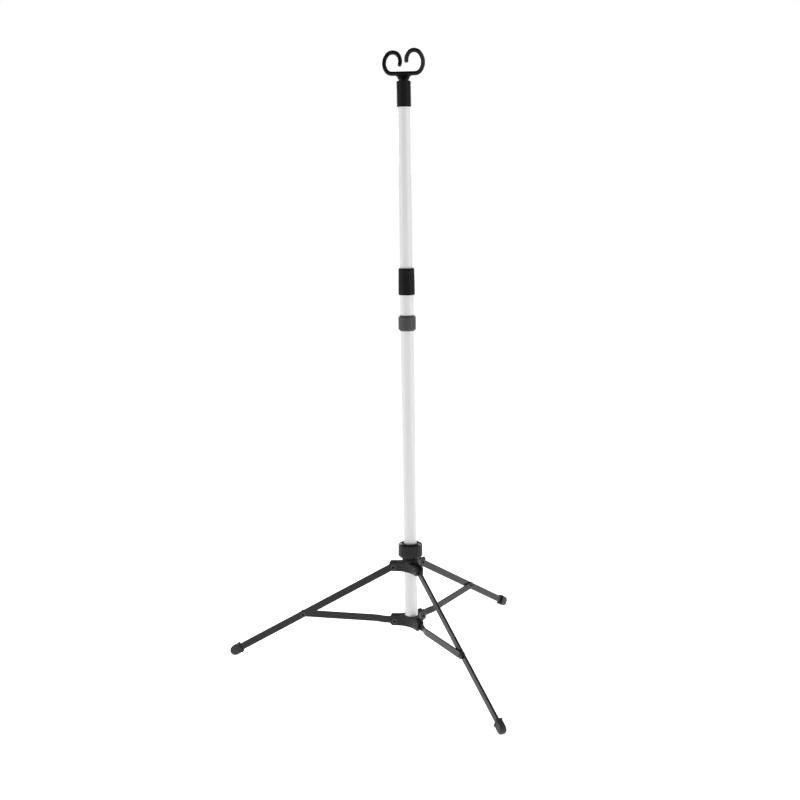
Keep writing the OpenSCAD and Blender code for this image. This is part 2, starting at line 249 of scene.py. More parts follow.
def grey_plastic():
    t = Tree("Grey_moulded_ring")
    fine = t.noise(0.35, 2, 0.6)
    flow = t.noise(8, 3, 0.55, warp=0.5)
    scuff = t.remap(t.noise(1.2, 4, 0.7, stretch=(6, 6, 1)), 0.64, 0.75, 0.0, 0.5)
    body = t.mix(t.remap(flow, 0.3, 0.7, 0, 1), grey(0.049), grey(0.059))
    body = t.mix(scuff, body, grey(0.17))
    # Lighter edges, patchy: partly rubbed wear, partly a painted edge highlight.
    edge = t.math("MULTIPLY", t.edges(0.6), t.remap(t.noise(3, 3, 0.6), 0.4, 0.65, 0.0, 0.4))
    t.colour(t.mix(edge, body, grey(0.2)))
    t.rough(t.remap(flow, 0.3, 0.7, 0.36, 0.46))
    t.bump([(t.cells(0.8), 14), (fine, 6)])
    t.fixed(Specular_IOR_Level=0.25)
    return t.m


def powder_black(name):
    """Black powder coat on steel: orange peel, faint rubbing along the bar, and edges painted a little lighter, partly
    as wear and partly as a painted highlight.
    """
    t = Tree(name)
    peel = t.noise(1.1, 2, 0.45)
    fine = t.noise(0.28, 2, 0.6)
    broad = t.noise(30, 3, 0.55)
    rub = t.remap(t.noise(1.1, 4, 0.7, stretch=(1, 1, 1), warp=1.5), 0.66, 0.76, 0.0, 0.4)
    body = t.mix(t.remap(broad, 0.3, 0.7, 0, 1), grey(0.0090), grey(0.0130))
    body = t.mix(rub, body, grey(0.03))
    # Lighter edges, patchy: partly worn coat, partly a painted edge highlight.
    edge = t.math("MULTIPLY", t.edges(0.8), t.remap(t.noise(5, 4, 0.65), 0.42, 0.62, 0.0, 0.55))
    t.colour(t.mix(edge, body, grey(0.075)))
    t.rough(t.remap(t.math("ADD", broad, t.math("MULTIPLY", fine, 0.4)), 0.4, 1.0, 0.30, 0.40))
    t.bump([(peel, 14), (fine, 4)])
    t.fixed(Specular_IOR_Level=0.3)
    return t.m


def rivet_steel():
    """Blackened steel rivet, with a painted highlight on its rolled lip."""
    t = Tree("Blackened_rivet_steel")
    fine = t.noise(0.4, 3, 0.6)
    patch = t.noise(2.5, 3, 0.6)
    body = t.mix(t.remap(patch, 0.35, 0.65, 0, 1), grey(0.045), grey(0.080))
    # Painted highlight: the rolled lip is painted light grey, patchy round the lip.
    edge = t.math("MULTIPLY", t.edges(0.5), t.remap(patch, 0.35, 0.6, 0.2, 0.8))
    t.colour(t.mix(edge, body, grey(0.34)))
    t.rough(t.remap(fine, 0.3, 0.7, 0.26, 0.42))
    t.bump([(fine, 8)])
    t.fixed(Metallic=0.85)
    return t.m


def rubber():
    """Moulded rubber foot: matt grain, dusty where it meets the floor."""
    t = Tree("Moulded_rubber")
    fine = t.noise(0.5, 3, 0.6)
    patch = t.noise(6, 4, 0.6)
    body = t.mix(t.remap(patch, 0.3, 0.7, 0, 1), grey(0.011), grey(0.017))
    low = t.remap(t.height(), 0.0005, 0.009, 1.0, 0.0)
    dust = t.math("MULTIPLY", low, t.remap(t.noise(1.8, 4, 0.7), 0.38, 0.66, 0.0, 0.75))
    t.colour(t.mix(dust, body, (0.13, 0.122, 0.11)))
    t.rough(t.remap(patch, 0.3, 0.7, 0.46, 0.62))
    t.bump([(t.cells(1.1), 30), (fine, 16)])
    t.fixed(Specular_IOR_Level=0.45)
    return t.m


def nylon():
    t = Tree("Natural_nylon")
    flow = t.noise(6, 3, 0.55, warp=0.6)
    t.colour(t.mix(t.remap(flow, 0.3, 0.7, 0, 1), (0.30, 0.295, 0.28), (0.38, 0.375, 0.36)))
    t.rough(t.remap(flow, 0.3, 0.7, 0.38, 0.5))
    t.bump([(t.noise(0.5, 2, 0.5), 8)])
    t.fixed(Specular_IOR_Level=0.5)
    return t.m


def zinc():
    t = Tree("Zinc_plated_steel")
    patch = t.noise(1.6, 3, 0.6)
    t.colour(t.mix(t.remap(patch, 0.3, 0.7, 0, 1), (0.50, 0.50, 0.48), (0.62, 0.63, 0.64)))
    t.rough(t.remap(t.noise(0.4, 3, 0.6, stretch=(6, 1, 1)), 0.3, 0.7, 0.25, 0.42))
    t.bump([(t.noise(0.3, 2, 0.5, stretch=(6, 1, 1)), 4)])
    t.fixed(Metallic=1.0)
    return t.m


M = {
    "outer": white_tube("White_coated_tube_lower", 0.10),
    "inner": white_tube("White_coated_tube_upper", 0.22),
    "hub": black_plastic("Grained_black_plastic"),
    "nut": black_plastic("Grained_black_nut", base=0.0075, rough=0.25, grain=0.3, depth=12, edge_wear_and_highlight=0.45, gloss=0.22),
    "sleeve": gloss_black("Smooth_black_sleeve", 0.0075, 0.40, 0.09),
    "hook": gloss_black("Smooth_black_hook", 0.0032, 0.13, 0.19),
    "ring": grey_plastic(),
    "steel": powder_black("Black_powder_coat"),
    "rivet": rivet_steel(),
    "rubber": rubber(),
    "nylon": nylon(),
    "zinc": zinc(),
}


# ------------------------------------------------------------------ mesh helpers (mm)
def dress(o, body, mat, stands=(), angle=32, weighted=True):
    me = o.data
    me.materials.clear()
    me.materials.append(M[mat])
    me.polygons.foreach_set("use_smooth", [True] * len(me.polygons))
    me.set_sharp_from_angle(angle=math.radians(angle))
    if weighted:
        m = o.modifiers.new("flat_faces", "WEIGHTED_NORMAL")
        m.keep_sharp = True
        m.weight = 60
    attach(o, body)
    if stands:
        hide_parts(*stands)
    return o


def mesh(name, verts, faces):
    me = bpy.data.meshes.new(name)
    me.from_pydata([tuple(float(c) * MM for c in v) for v in verts], [], [tuple(int(i) for i in f) for f in faces])
    bm = bmesh.new()
    bm.from_mesh(me)
    bmesh.ops.remove_doubles(bm, verts=bm.verts, dist=2e-7)
    bmesh.ops.dissolve_degenerate(bm, dist=1e-7, edges=bm.edges)
    bmesh.ops.recalc_face_normals(bm, faces=bm.faces)
    bm.to_mesh(me)
    bm.free()
    o = bpy.data.objects.new(name, me)
    bpy.context.scene.collection.objects.link(o)
    return o


def fillet(points, seg=5, closed=True):
    """Rounds the corners of a 2D outline: each point is (x, y) or (x, y, radius)."""
    out, n = [], len(points)
    for i, p in enumerate(points):
        r = p[2] if len(p) > 2 else 0
        b = np.array(p[:2], float)
        if r <= 0 or (not closed and i in (0, n - 1)):
            out.append(tuple(b))
            continue
        a, c = np.array(points[i - 1][:2], float), np.array(points[(i + 1) % n][:2], float)
        la, lc = np.linalg.norm(a - b), np.linalg.norm(c - b)
        u, v = (a - b) / la, (c - b) / lc
        ang = math.acos(max(-1, min(1, float(u @ v))))
        if ang > math.pi - 1e-3:
            out.append(tuple(b))
            continue
        d = min(r / math.tan(ang / 2), 0.48 * la, 0.48 * lc)
        r = d * math.tan(ang / 2)
        mid = (u + v) / np.linalg.norm(u + v)
        centre = b + mid * (r / math.sin(ang / 2))
        s, e = b + u * d - centre, b + v * d - centre
        a0, a1 = math.atan2(s[1], s[0]), math.atan2(e[1], e[0])
        da = (a1 - a0 + math.pi) % (2 * math.pi) - math.pi
        for k in range(seg + 1):
            t = a0 + da * k / seg
            out.append((centre[0] + r * math.cos(t), centre[1] + r * math.sin(t)))
    return out


def revolve(profile, n, ring=True, radius=None):
    """Turns a (r, z) profile about Z. ring: the profile is a loop off the axis; otherwise it starts and ends on it."""
    verts, faces, m = [], [], len(profile)
    for j in range(n):
        a = 2 * math.pi * j / n
        for r, z in profile:
            q = radius(r, z, a) if radius else r
            verts.append((q * math.cos(a), q * math.sin(a), z))
    for j in range(n):
        k = (j + 1) % n
        for i in range(m if ring else m - 1):
            h = (i + 1) % m
            f = [j * m + i, k * m + i, k * m + h, j * m + h]
            if not ring and i == 0:
                f = [j * m, k * m + h, j * m + h]
            elif not ring and i == m - 2:
                f = [j * m + i, k * m + i, j * m + h]
            faces.append(f)
    return verts, faces


def inside(p, poly):
    x, y, hit = p[0], p[1], False
    for i in range(len(poly)):
        x1, y1 = poly[i - 1]
        x2, y2 = poly[i]
        if (y1 > y) != (y2 > y) and x < (x2 - x1) * (y - y1) / (y2 - y1) + x1:
            hit = not hit
    return hit


def shrink(outline, d):
    """The outline of an anticlockwise polygon moved inwards by d."""
    p = np.array(outline, float)
    e1 = p - np.roll(p, 1, 0)
    e2 = np.roll(p, -1, 0) - p
    e1 /= np.linalg.norm(e1, axis=1)[:, None]
    e2 /= np.linalg.norm(e2, axis=1)[:, None]
    n1 = np.stack([-e1[:, 1], e1[:, 0]], 1)
    n2 = np.stack([-e2[:, 1], e2[:, 0]], 1)
    m = n1 + n2
    m /= np.maximum((m * m).sum(1) / 2, 0.5)[:, None]
    return p + m * d


def prism(outline, z0, z1, r, seg=4):
    """A plate of that outline with its top and bottom edges rounded."""
    rings = []
    for k in range(seg + 1):
        t = math.pi / 2 * k / seg
        rings.append((r * (1 - math.sin(t)), z0 + r * (1 - math.cos(t))))
    rings += [(d, z0 + z1 - z) for d, z in reversed(rings)]
    n, verts, faces = len(outline), [], []
    for d, z in rings:
        verts += [(x, y, z) for x, y in shrink(outline, d)]
    for k in range(len(rings) - 1):
        for i in range(n):
            j = (i + 1) % n
            faces.append((k * n + i, k * n + j, (k + 1) * n + j, (k + 1) * n + i))
    cap = [tuple(v[:2]) for v in verts[:n]]
    out = delaunay_2d_cdt([Vector(c) for c in cap], [(i, (i + 1) % n) for i in range(n)], [], 0, 1e-5)
    for f in out[2]:
        c = [sum(out[0][i][a] for i in f) / len(f) for a in (0, 1)]
        if inside(c, cap):
            at = [out[3][i][0] for i in f]
            faces.append(tuple(at))
            faces.append(tuple((len(rings) - 1) * n + i for i in reversed(at)))
    return verts, faces


def divided(outline, step):
    out = []
    for i in range(len(outline)):
        a, b = np.array(outline[i], float), np.array(outline[(i + 1) % len(outline)], float)
        n = max(1, int(math.ceil(np.linalg.norm(b - a) / step)))
        out += [tuple(a + (b - a) * k / n) for k in range(n)]
    return out


def rounded_section(h, t, c, per=6):
    """A rounded rectangle in (y, z): half height h, half thickness t, corner radius c."""
    c = max(0.02, min(c, h * 0.98, t * 0.98))
    pts = []
    for cy, cz, a in ((t - c, h - c, 0), (c - t, h - c, 90), (c - t, c - h, 180), (t - c, c - h, 270)):
        for k in range(per + 1):
            q = math.radians(a + 90 * k / per)
            pts.append((cy + c * math.cos(q), cz + c * math.sin(q)))
    return pts


def loft(sections, per=6):
    """sections: (x, half height, half thickness, corner radius, y offset)."""
    verts, faces = [], []
    n = 4 * (per + 1)
    for x, h, t, c, y in sections:
        verts += [(x, y + p, q) for p, q in rounded_section(h, t, c, per)]
    for k in range(len(sections) - 1):
        for i in range(n):
            j = (i + 1) % n
            faces.append((k * n + i, k * n + j, (k + 1) * n + j, (k + 1) * n + i))
    faces.append(tuple(range(n - 1, -1, -1)))
    faces.append(tuple((len(sections) - 1) * n + i for i in range(n)))
    return verts, faces


def moved(verts, m):
    return [tuple(m @ Vector(v)) for v in verts]


def boolean(o, cutter, op):
    m = o.modifiers.new("cut", "BOOLEAN")
    m.operation, m.solver, m.object = op, "EXACT", cutter
    bpy.context.view_layer.update()
    dg = bpy.context.evaluated_depsgraph_get()
    me = bpy.data.meshes.new_from_object(o.evaluated_get(dg))
    o.modifiers.clear()
    old = o.data
    o.data = me
    bpy.data.meshes.remove(old)
    me.name = o.name
    bpy.data.objects.remove(cutter)
    bm = bmesh.new()
    bm.from_mesh(me)
    bmesh.ops.remove_doubles(bm, verts=bm.verts, dist=1e-6)
    bmesh.ops.dissolve_degenerate(bm, dist=1e-6, edges=bm.edges)
    bm.to_mesh(me)
    bm.free()
    return o


def tool(verts, faces):
    return mesh("tool", verts, faces)


def rod(r, z0, z1, n=64):
    return revolve([(0, z0), (r, z0), (r, z1), (0, z1)], n, ring=False)


AZ = (180, 300, 60)


def leg_frame(i):
    return Matrix.Rotation(math.radians(AZ[i]), 4, "Z")


def along_y(sign):
    """Turns a shape made about +Z so that it points to local +Y or -Y."""
    return Matrix.Rotation(-sign * math.pi / 2, 4, "X")


# ------------------------------------------------------------------ sizes (mm), as the CAD has them
UP_R, UP_Z, LO_R, LO_Z, KNEE_R, KNEE_Z = 36.5, 212.5, 36.0, 88.5, 240.0, 98.0
LEG_A = math.atan2(UP_Z - KNEE_Z, KNEE_R - UP_R)
LEG_L = math.hypot(UP_Z - KNEE_Z, KNEE_R - UP_R)
BR_A = math.atan2(KNEE_Z - LO_Z, KNEE_R - LO_R)
BR_L = math.hypot(KNEE_Z - LO_Z, KNEE_R - LO_R)
FOOT_R = 10.8
FOOT_S = (UP_Z - (FOOT_R - 1.2)) / math.sin(LEG_A)


# ------------------------------------------------------------------ pole
def tube(name, node, r1, r2, z0, z1, body, mat):
    p = fillet([(r1, z0, 0.4), (r2, z0, 0.4), (r2, z1, 0.4), (r1, z1, 0.4)], 3)
    v, f = revolve(p, 192)
    return dress(mesh(name, v, f), body, mat, [node])


tube("Lower_pole_tube", "outer_tube", 13.09, 14.29, 84, 848, "base", "outer")
tube("Upper_pole_tube", "inner_tube", 11.5, 12.7, 432, 1227, "mast", "inner")

# Grey ring on the lower tube: bevelled ends.
p = fillet([(14.29, 727, 0), (15.3, 727, 0.5), (18.4, 730.4, 1.1), (18.4, 756.4, 1.1), (15.3, 759.8, 0.5), (14.29, 759.8, 0)], 5)
v, f = revolve(p, 160)
dress(mesh("Pole_ring", v, f), "base", "ring", ["pole_ring"])

# Twist collar: slightly tapered, rolled ends, open at the top round the upper tube.
p = fillet([(15.5, 802.2, 0.3), (17.0, 802.2, 0.9), (17.25, 804.4, 1.2), (16.55, 855.6, 1.2), (15.6, 857.6, 1.0),
            (13.1, 857.6, 0.4), (13.1, 855.2, 0.2), (15.5, 855.2, 0.2)], 5)
v, f = revolve(p, 160)
dress(mesh("Twist_collar", v, f), "collar", "sleeve", ["twist_collar"])

# Top sleeve.
p = fillet([(12.7, 1182, 0.2), (14.2, 1182, 0.5), (14.6, 1184, 0.8), (14.6, 1231.0, 0.9), (13.9, 1233, 0.7), (12.7, 1233, 0.3)], 5)
v, f = revolve(p, 160)
dress(mesh("Top_sleeve", v, f), "mast", "sleeve", ["top_sleeve"])


# ------------------------------------------------------------------ hubs
def hub_outline(w, slot, slot_r, arm_r):
    hw, dc = w / 2, 66.0
    rho, tr = dc * math.sin(math.radians(60)) - hw, dc * math.cos(math.radians(60))
    arm = fillet([(tr, -hw, 0), (arm_r, -hw, 2.0), (arm_r, -slot / 2, 1.35), (slot_r, -slot / 2, 0.6),
                  (slot_r, slot / 2, 0.6), (arm_r, slot / 2, 1.35), (arm_r, hw, 2.0), (tr, hw, 0)], 4, closed=False)
    valley = [(tr + rho * math.cos(math.radians(a)), dc * math.sin(math.radians(60)) + rho * math.sin(math.radians(a)))
              for a in np.linspace(-90, -150, 25)[1:-1]]
    out = []
    for k in range(3):
        c, s = math.cos(math.radians(120 * k)), math.sin(math.radians(120 * k))
        out += [(x * c - y * s, x * s + y * c) for x, y in arm + valley]
    return divided(out, 2.4)


def arm_ends(verts, z0, z1, arm_r, top_run, bottom_run, drop):
    """Slopes the top and bottom of each arm's outer end."""
    out, zm = [], (z0 + z1) / 2
    for x, y, z in verts:
        best = max(x * math.cos(math.radians(a)) + y * math.sin(math.radians(a)) for a in (0, 120, 240))
        if z > zm:
            lim = z1 - max(0, best - (arm_r - top_run)) * drop / top_run
            z = zm + (z - zm) * (lim - zm) / (z1 - zm)
        else:
            lim = z0 + max(0, best - (arm_r - bottom_run)) * drop / bottom_run
            z = zm - (zm - z) * (zm - lim) / (zm - z0)
        out.append((x, y, z))
    return out


def hub(name, z0, z1, w, slot, slot_r, pivot_r, pivot_z, bore_r, bore_z0):
    outline = hub_outline(w, slot, slot_r, 47.0)
    v, f = prism(outline, z0, z1, 1.1, 4)
    v = arm_ends(v, z0, z1, 47.0, 3.4, 5.0, 5.5)
    o = mesh(name, moved(v, Matrix.Rotation(math.pi, 4, "Z")), f)
    return o


def rivet_holes(o, pivot_r, pivot_z):
    for i in range(3):
        v, f = rod(3.6, -30, 30, 40)
        m = leg_frame(i) @ Matrix.Translation((pivot_r, 0, pivot_z)) @ along_y(1)
        boolean(o, tool(moved(v, m), f), "DIFFERENCE")


lower = hub("Fixed_hub", 78, 101.5, 15.4, 4.0, 27.6, LO_R, LO_Z, 14.29, 84)
v, f = rod(14.33, 84, 130, 128)
boolean(lower, tool(v, f), "DIFFERENCE")
v, f = revolve([(0, 70), (5.4, 70), (5.4, 80.6), (2.6, 80.6), (2.6, 84.5), (0, 84.5)], 48, ring=False)
boolean(lower, tool(v, f), "DIFFERENCE")
rivet_holes(lower, LO_R, LO_Z)
dress(lower, "base", "hub", ["lower_hub"], angle=30)

upper = hub("Sliding_hub", 202.5, 223, 17.0, 5.8, 28.2, UP_R, UP_Z, 14.35, 200)


def thread_radius(r, z, a):
    """A 2.5 mm pitch round thread on the neck, running out at both ends."""
    if r < 17.0:
        return r
    u = ((z - 2.5 * a / (2 * math.pi)) / 2.5) % 1.0
    fade = max(0.0, min(1.0, (z - 225.2) / 1.6, (253.0 - z) / 1.2))
    return r - 1.05 * fade * (0.5 - 0.5 * math.cos(2 * math.pi * u)) ** 1.4


neck = [(0, 214), (17.2, 214)] + fillet([(17.2, 222.6, 0), (18.0, 224.0, 0.5), (18.0, 224.6, 0)], 3, closed=False)
neck += [(18.0, z) for z in np.arange(224.9, 253.6, 0.3)] + [(17.6, 254.0), (17.2, 254.2), (0, 254.2)]
v, f = revolve(neck, 144, ring=False, radius=thread_radius)
boolean(upper, tool(v, f), "UNION")
v, f = rod(14.37, 190, 270, 128)
boolean(upper, tool(v, f), "DIFFERENCE")
rivet_holes(upper, UP_R, UP_Z)
dress(upper, "slider", "hub", ["upper_hub"], angle=30)


# ------------------------------------------------------------------ lock nut
def flute_radius(r, z, a):
    """The nut's outer skin, scalloped by 16 round flutes; the bore stays round."""
    if r < 19.5:
        return r
    step = 2 * math.pi / 16
    phi = (a - step / 2 + math.pi / 16) % step - step / 2
    big, cut = 27.65, 2.95
    d = cut * cut - (big * math.sin(phi)) ** 2
    lim = big * math.cos(phi) - math.sqrt(d) if d > 0 else big * math.cos(phi)
    k = 0.35
    h = max(0.0, min(1.0, 0.5 + 0.5 * (lim - r) / k))
    return lim * (1 - h) + r * h - k * h * (1 - h)


NUT0, NUT1 = 236.0, 266.2
p = fillet([(18.35, NUT0, 0.3), (24.6, NUT0, 1.0), (26.3, NUT0 + 2.2, 1.4), (25.9, NUT1 - 4.0, 0.8), (19.6, NUT1 - 0.1, 0.8),
            (18.6, NUT1 + 0.0, 0.8), (17.4, NUT1 - 0.9, 0.6), (14.9, NUT1 - 0.9, 0.4), (14.9, NUT1 - 3.6, 0.2), (18.35, NUT1 - 3.6, 0.2)], 5)
p = [(r, z) for r, z in divided(p, 1.6)]
v, f = revolve(p, 16 * 26, radius=flute_radius)
dress(mesh("Lock_nut", v, f), "nut", "nut", ["lock_nut"], angle=40)


# ------------------------------------------------------------------ rivets
def rivet_head(depth):
    """A rolled tubular rivet end: a ring with a round lip and a deep hole; its face stands 1.2 mm above z = 0."""
    p = fillet([(0, -depth + 0.5), (3.0, -depth + 0.5, 0.3), (3.45, 1.25, 1.0), (5.9, 1.15, 0.7), (6.25, -0.02, 0.2), (3.95, -0.02, 0),
                (3.95, -depth), (0, -depth)], 5, closed=False)
    return revolve(p, 56, ring=False)


def heads(name, places, body, stands):
    """places: (matrix, depth) for each rivet head."""
    verts, faces = [], []
    for m, depth in places:
        v, f = rivet_head(depth)
        b = len(verts)
        verts += moved(v, m)
        faces += [[i + b for i in g] for g in f]
    return dress(mesh(name, verts, faces), body, "rivet", stands, angle=40, weighted=False)


for name, body, node, r, z, hw in (("Fixed_hub_rivets", "base", "lower_hub_rivets", LO_R, LO_Z, 7.7),
                                   ("Sliding_hub_rivets", "slider", "upper_hub_rivets", UP_R, UP_Z, 8.5)):
    heads(name, [(leg_frame(i) @ Matrix.Translation((r, s * (hw - 0.1), z)) @ along_y(s), 5.3) for i in range(3) for s in (1, -1)], body, [node])


# ------------------------------------------------------------------ legs, braces, feet
def round_end(sign, x0, radius, half, edge, y, count=9):
    """Sections of a plate's round end about x0; sign says which way it faces."""
    out = []
    for k in range(count):
        a = math.radians(86.5 * (k + 1) / count)
        x = radius * math.sin(a)
        d = radius - x
        t = half if d >= edge else half - edge + math.sqrt(max(0, edge * edge - (edge - d) ** 2))
        out.append((x0 + sign * x, radius * math.cos(a), t, edge, y))
    out.append((x0 + sign * radius, 0.25, half - edge * 0.98, 0.2, y))
    return out if sign > 0 else out[::-1]


def steps(a, b, n):
    return [a + (b - a) * k / n for k in range(n + 1)]


for i in range(3):
    k = i + 1
    on_leg = leg_frame(i) @ Matrix.Translation((UP_R, 0, UP_Z)) @ Matrix.Rotation(LEG_A, 4, "Y")
    on_brace = leg_frame(i) @ Matrix.Translation((LO_R, 0, LO_Z)) @ Matrix.Rotation(-BR_A, 4, "Y")
    knee = leg_frame(i) @ Matrix.Translation((KNEE_R, 0, KNEE_Z))

    end = FOOT_S - 2
    sec = round_end(-1, 0, 7.5, 2.5, 1.45, 0) + [(x, 7.5, 2.5, 1.45, 0) for x in steps(0, end, 26)]
    v, f = loft(sec, 7)
    leg = mesh("Leg_%d" % k, moved(v, on_leg), f)
    v, f = rod(3.7, -1.6, 30, 40)
    boolean(leg, tool(moved(v, knee @ along_y(1)), f), "DIFFERENCE")
    dress(leg, "leg_body_%d" % k, "steel", ["leg_%d" % k])

    def side(x):
        u = max(0.0, min(1.0, (x - 20.0) / 26.0))
        return -4.6 * u * u * (3 - 2 * u)

    sec = round_end(-1, 0, 7.7, 1.6, 0.75, 0)
    sec += [(x, 7.7, 1.6, 0.75, side(x)) for x in steps(0, 18, 2) + steps(20, 46, 14)[0:] + steps(52, BR_L, 12)]
    sec += round_end(1, BR_L, 7.7, 1.6, 0.75, -4.6)
    v, f = loft(sec, 6)
    brace = mesh("Brace_%d" % k, moved(v, on_brace), f)
    v, f = rod(3.7, 3.9, 30, 40)
    boolean(brace, tool(moved(v, knee @ along_y(-1)), f), "DIFFERENCE")
    dress(brace, "brace_body_%d" % k, "steel", ["brace_%d" % k])

    heads("Knee_rivet_%d" % k, [(knee @ Matrix.Translation((0, 2.5, 0)) @ along_y(1), 3.9)], "leg_body_%d" % k, ["knee_rivet_%d" % k])
    heads("Knee_cap_%d" % k, [(knee @ Matrix.Translation((0, -6.2, 0)) @ along_y(-1), 2.25)], "brace_body_%d" % k, ["knee_cap_%d" % k])

    # Rubber foot: flange, groove, swelling barrel, round tip, worn flat where it stands.
    s0 = FOOT_S - 16.5
    flange = [(s0, 9.9, 5.6, 1.6, 0), (s0 + 0.12, 10.9, 6.3, 2.0, 0), (s0 + 0.7, 11.4, 6.85, 2.4, 0), (s0 + 1.4, 11.5, 6.9, 2.4, 0),
              (s0 + 2.8, 11.5, 6.9, 2.4, 0), (s0 + 3.5, 11.3, 6.75, 2.4, 0), (s0 + 3.95, 10.8, 6.3, 2.2, 0), (s0 + 4.2, 10.2, 5.75, 2.2, 0),
              (s0 + 4.5, 9.95, 5.5, 2.2, 0), (s0 + 5.1, 9.95, 5.5, 2.4, 0), (s0 + 5.5, 10.2, 5.75, 2.6, 0), (s0 + 6.0, 10.6, 6.05, 2.9, 0),
              (s0 + 7.0, 10.78, 6.18, 3.0, 0)]
    tip = [(x, 10.8, 6.2, 3.0, 0) for x in steps(s0 + 9, FOOT_S, 4)] + round_end(1, FOOT_S, 10.8, 6.2, 3.0, 0, 18)
    v, f = loft(flange + tip, 9)
    v = [(x, y, max(0.0, z)) for x, y, z in moved(v, on_leg)]
    dress(mesh("Foot_%d" % k, v, f), "leg_body_%d" % k, "rubber", ["foot_%d" % k], angle=50)


# ------------------------------------------------------------------ hook
ROD, BAR_Z, LOOP_H, LEAN = 4.3, 1247.5, 47.0, math.radians(22.5)


def arc(cx, cz, r, a0, a1, n):
    return [(cx + r * math.cos(math.radians(a0 + (a1 - a0) * k / n)), cz + r * math.sin(math.radians(a0 + (a1 - a0) * k / n)))
            for k in range(1, n + 1)]


def loop_points(cx, b, tip, h, curl):
    a, r1 = h / 2, b * 0.82
    rs = ((a - r1) ** 2 + b * b - r1 * r1) / (2 * (b - r1))
    t = math.degrees(math.atan2(a - r1, rs - b))
    r2 = b * curl
    c2x = cx + (r2 - r1) * math.cos(math.radians(t))
    c2z = 2 * a - r1 + (r1 - r2) * math.sin(math.radians(t))
    return ([(cx, 0.0)] + arc(cx, r1, r1, -90, -t, 20) + arc(cx + b - rs, a, rs, -t, t, 22)
            + arc(cx, 2 * a - r1, r1, t, 180 - t, 36) + arc(c2x, c2z, r2, 180 - t, 180 - t + tip, 20))


def leaned(pts, s):
    return [(s * x, -s * z * math.sin(LEAN), BAR_Z + z * math.cos(LEAN)) for x, z in pts]


path = np.array(leaned(loop_points(23.3, 16.8, 50, LOOP_H, 1.5), -1)[::-1]
                + [(-23.3 + 46.3 * k / 12, 0, BAR_Z) for k in range(1, 12)]
                + leaned(loop_points(23.0, 17.2, 40, LOOP_H - 0.5, 1.35), 1))


def smin(a, b, k):
    h = np.clip(0.5 + 0.5 * (b - a) / k, 0, 1)
    return b * (1 - h) + a * h - k * h * (1 - h)


def rod_distance(p):
    a, b = path[:-1], path[1:]
    ab = b - a
    ll = (ab * ab).sum(1)
    out = np.empty(len(p))
    for s in range(0, len(p), 4000):
        q = p[s:s + 4000, None, :] - a[None]
        t = np.clip((q * ab[None]).sum(2) / ll[None], 0, 1)
        d = q - t[..., None] * ab[None]
        out[s:s + 4000] = np.sqrt((d * d).sum(2).min(1))
    return out - ROD


def neck_distance(p):
    x, y, z = p[:, 0], p[:, 1], p[:, 2]
    u = np.clip((z - 1234.2) / (BAR_Z - 1234.2), 0, 1)
    wide = 10.3 + 6.9 * u ** 1.25
    thin = 10.3 - 6.5 * (u * u * (3 - 2 * u)) ** 0.9
    rr = np.sqrt((x / wide) ** 2 + (y / thin) ** 2)
    g = np.sqrt((x / wide ** 2) ** 2 + (y / thin ** 2) ** 2) / np.maximum(rr, 1e-6)
    side = (rr - 1) / np.maximum(g, 1e-3)
    return np.maximum(np.maximum(side, 1224.0 - z), z - (BAR_Z + 1.0))


def collar_distance(p):
    r = np.hypot(p[:, 0], p[:, 1]) - 12.2
    z = np.abs(p[:, 2] - 1227.5) - 4.2
    q = np.maximum(np.stack([r, z], 1), 0)
    return np.minimum(np.maximum(r, z), 0) + np.sqrt((q * q).sum(1)) - 0.5


def hook_field(p):
    return smin(smin(rod_distance(p), neck_distance(p), 3.2), collar_distance(p), 1.0)


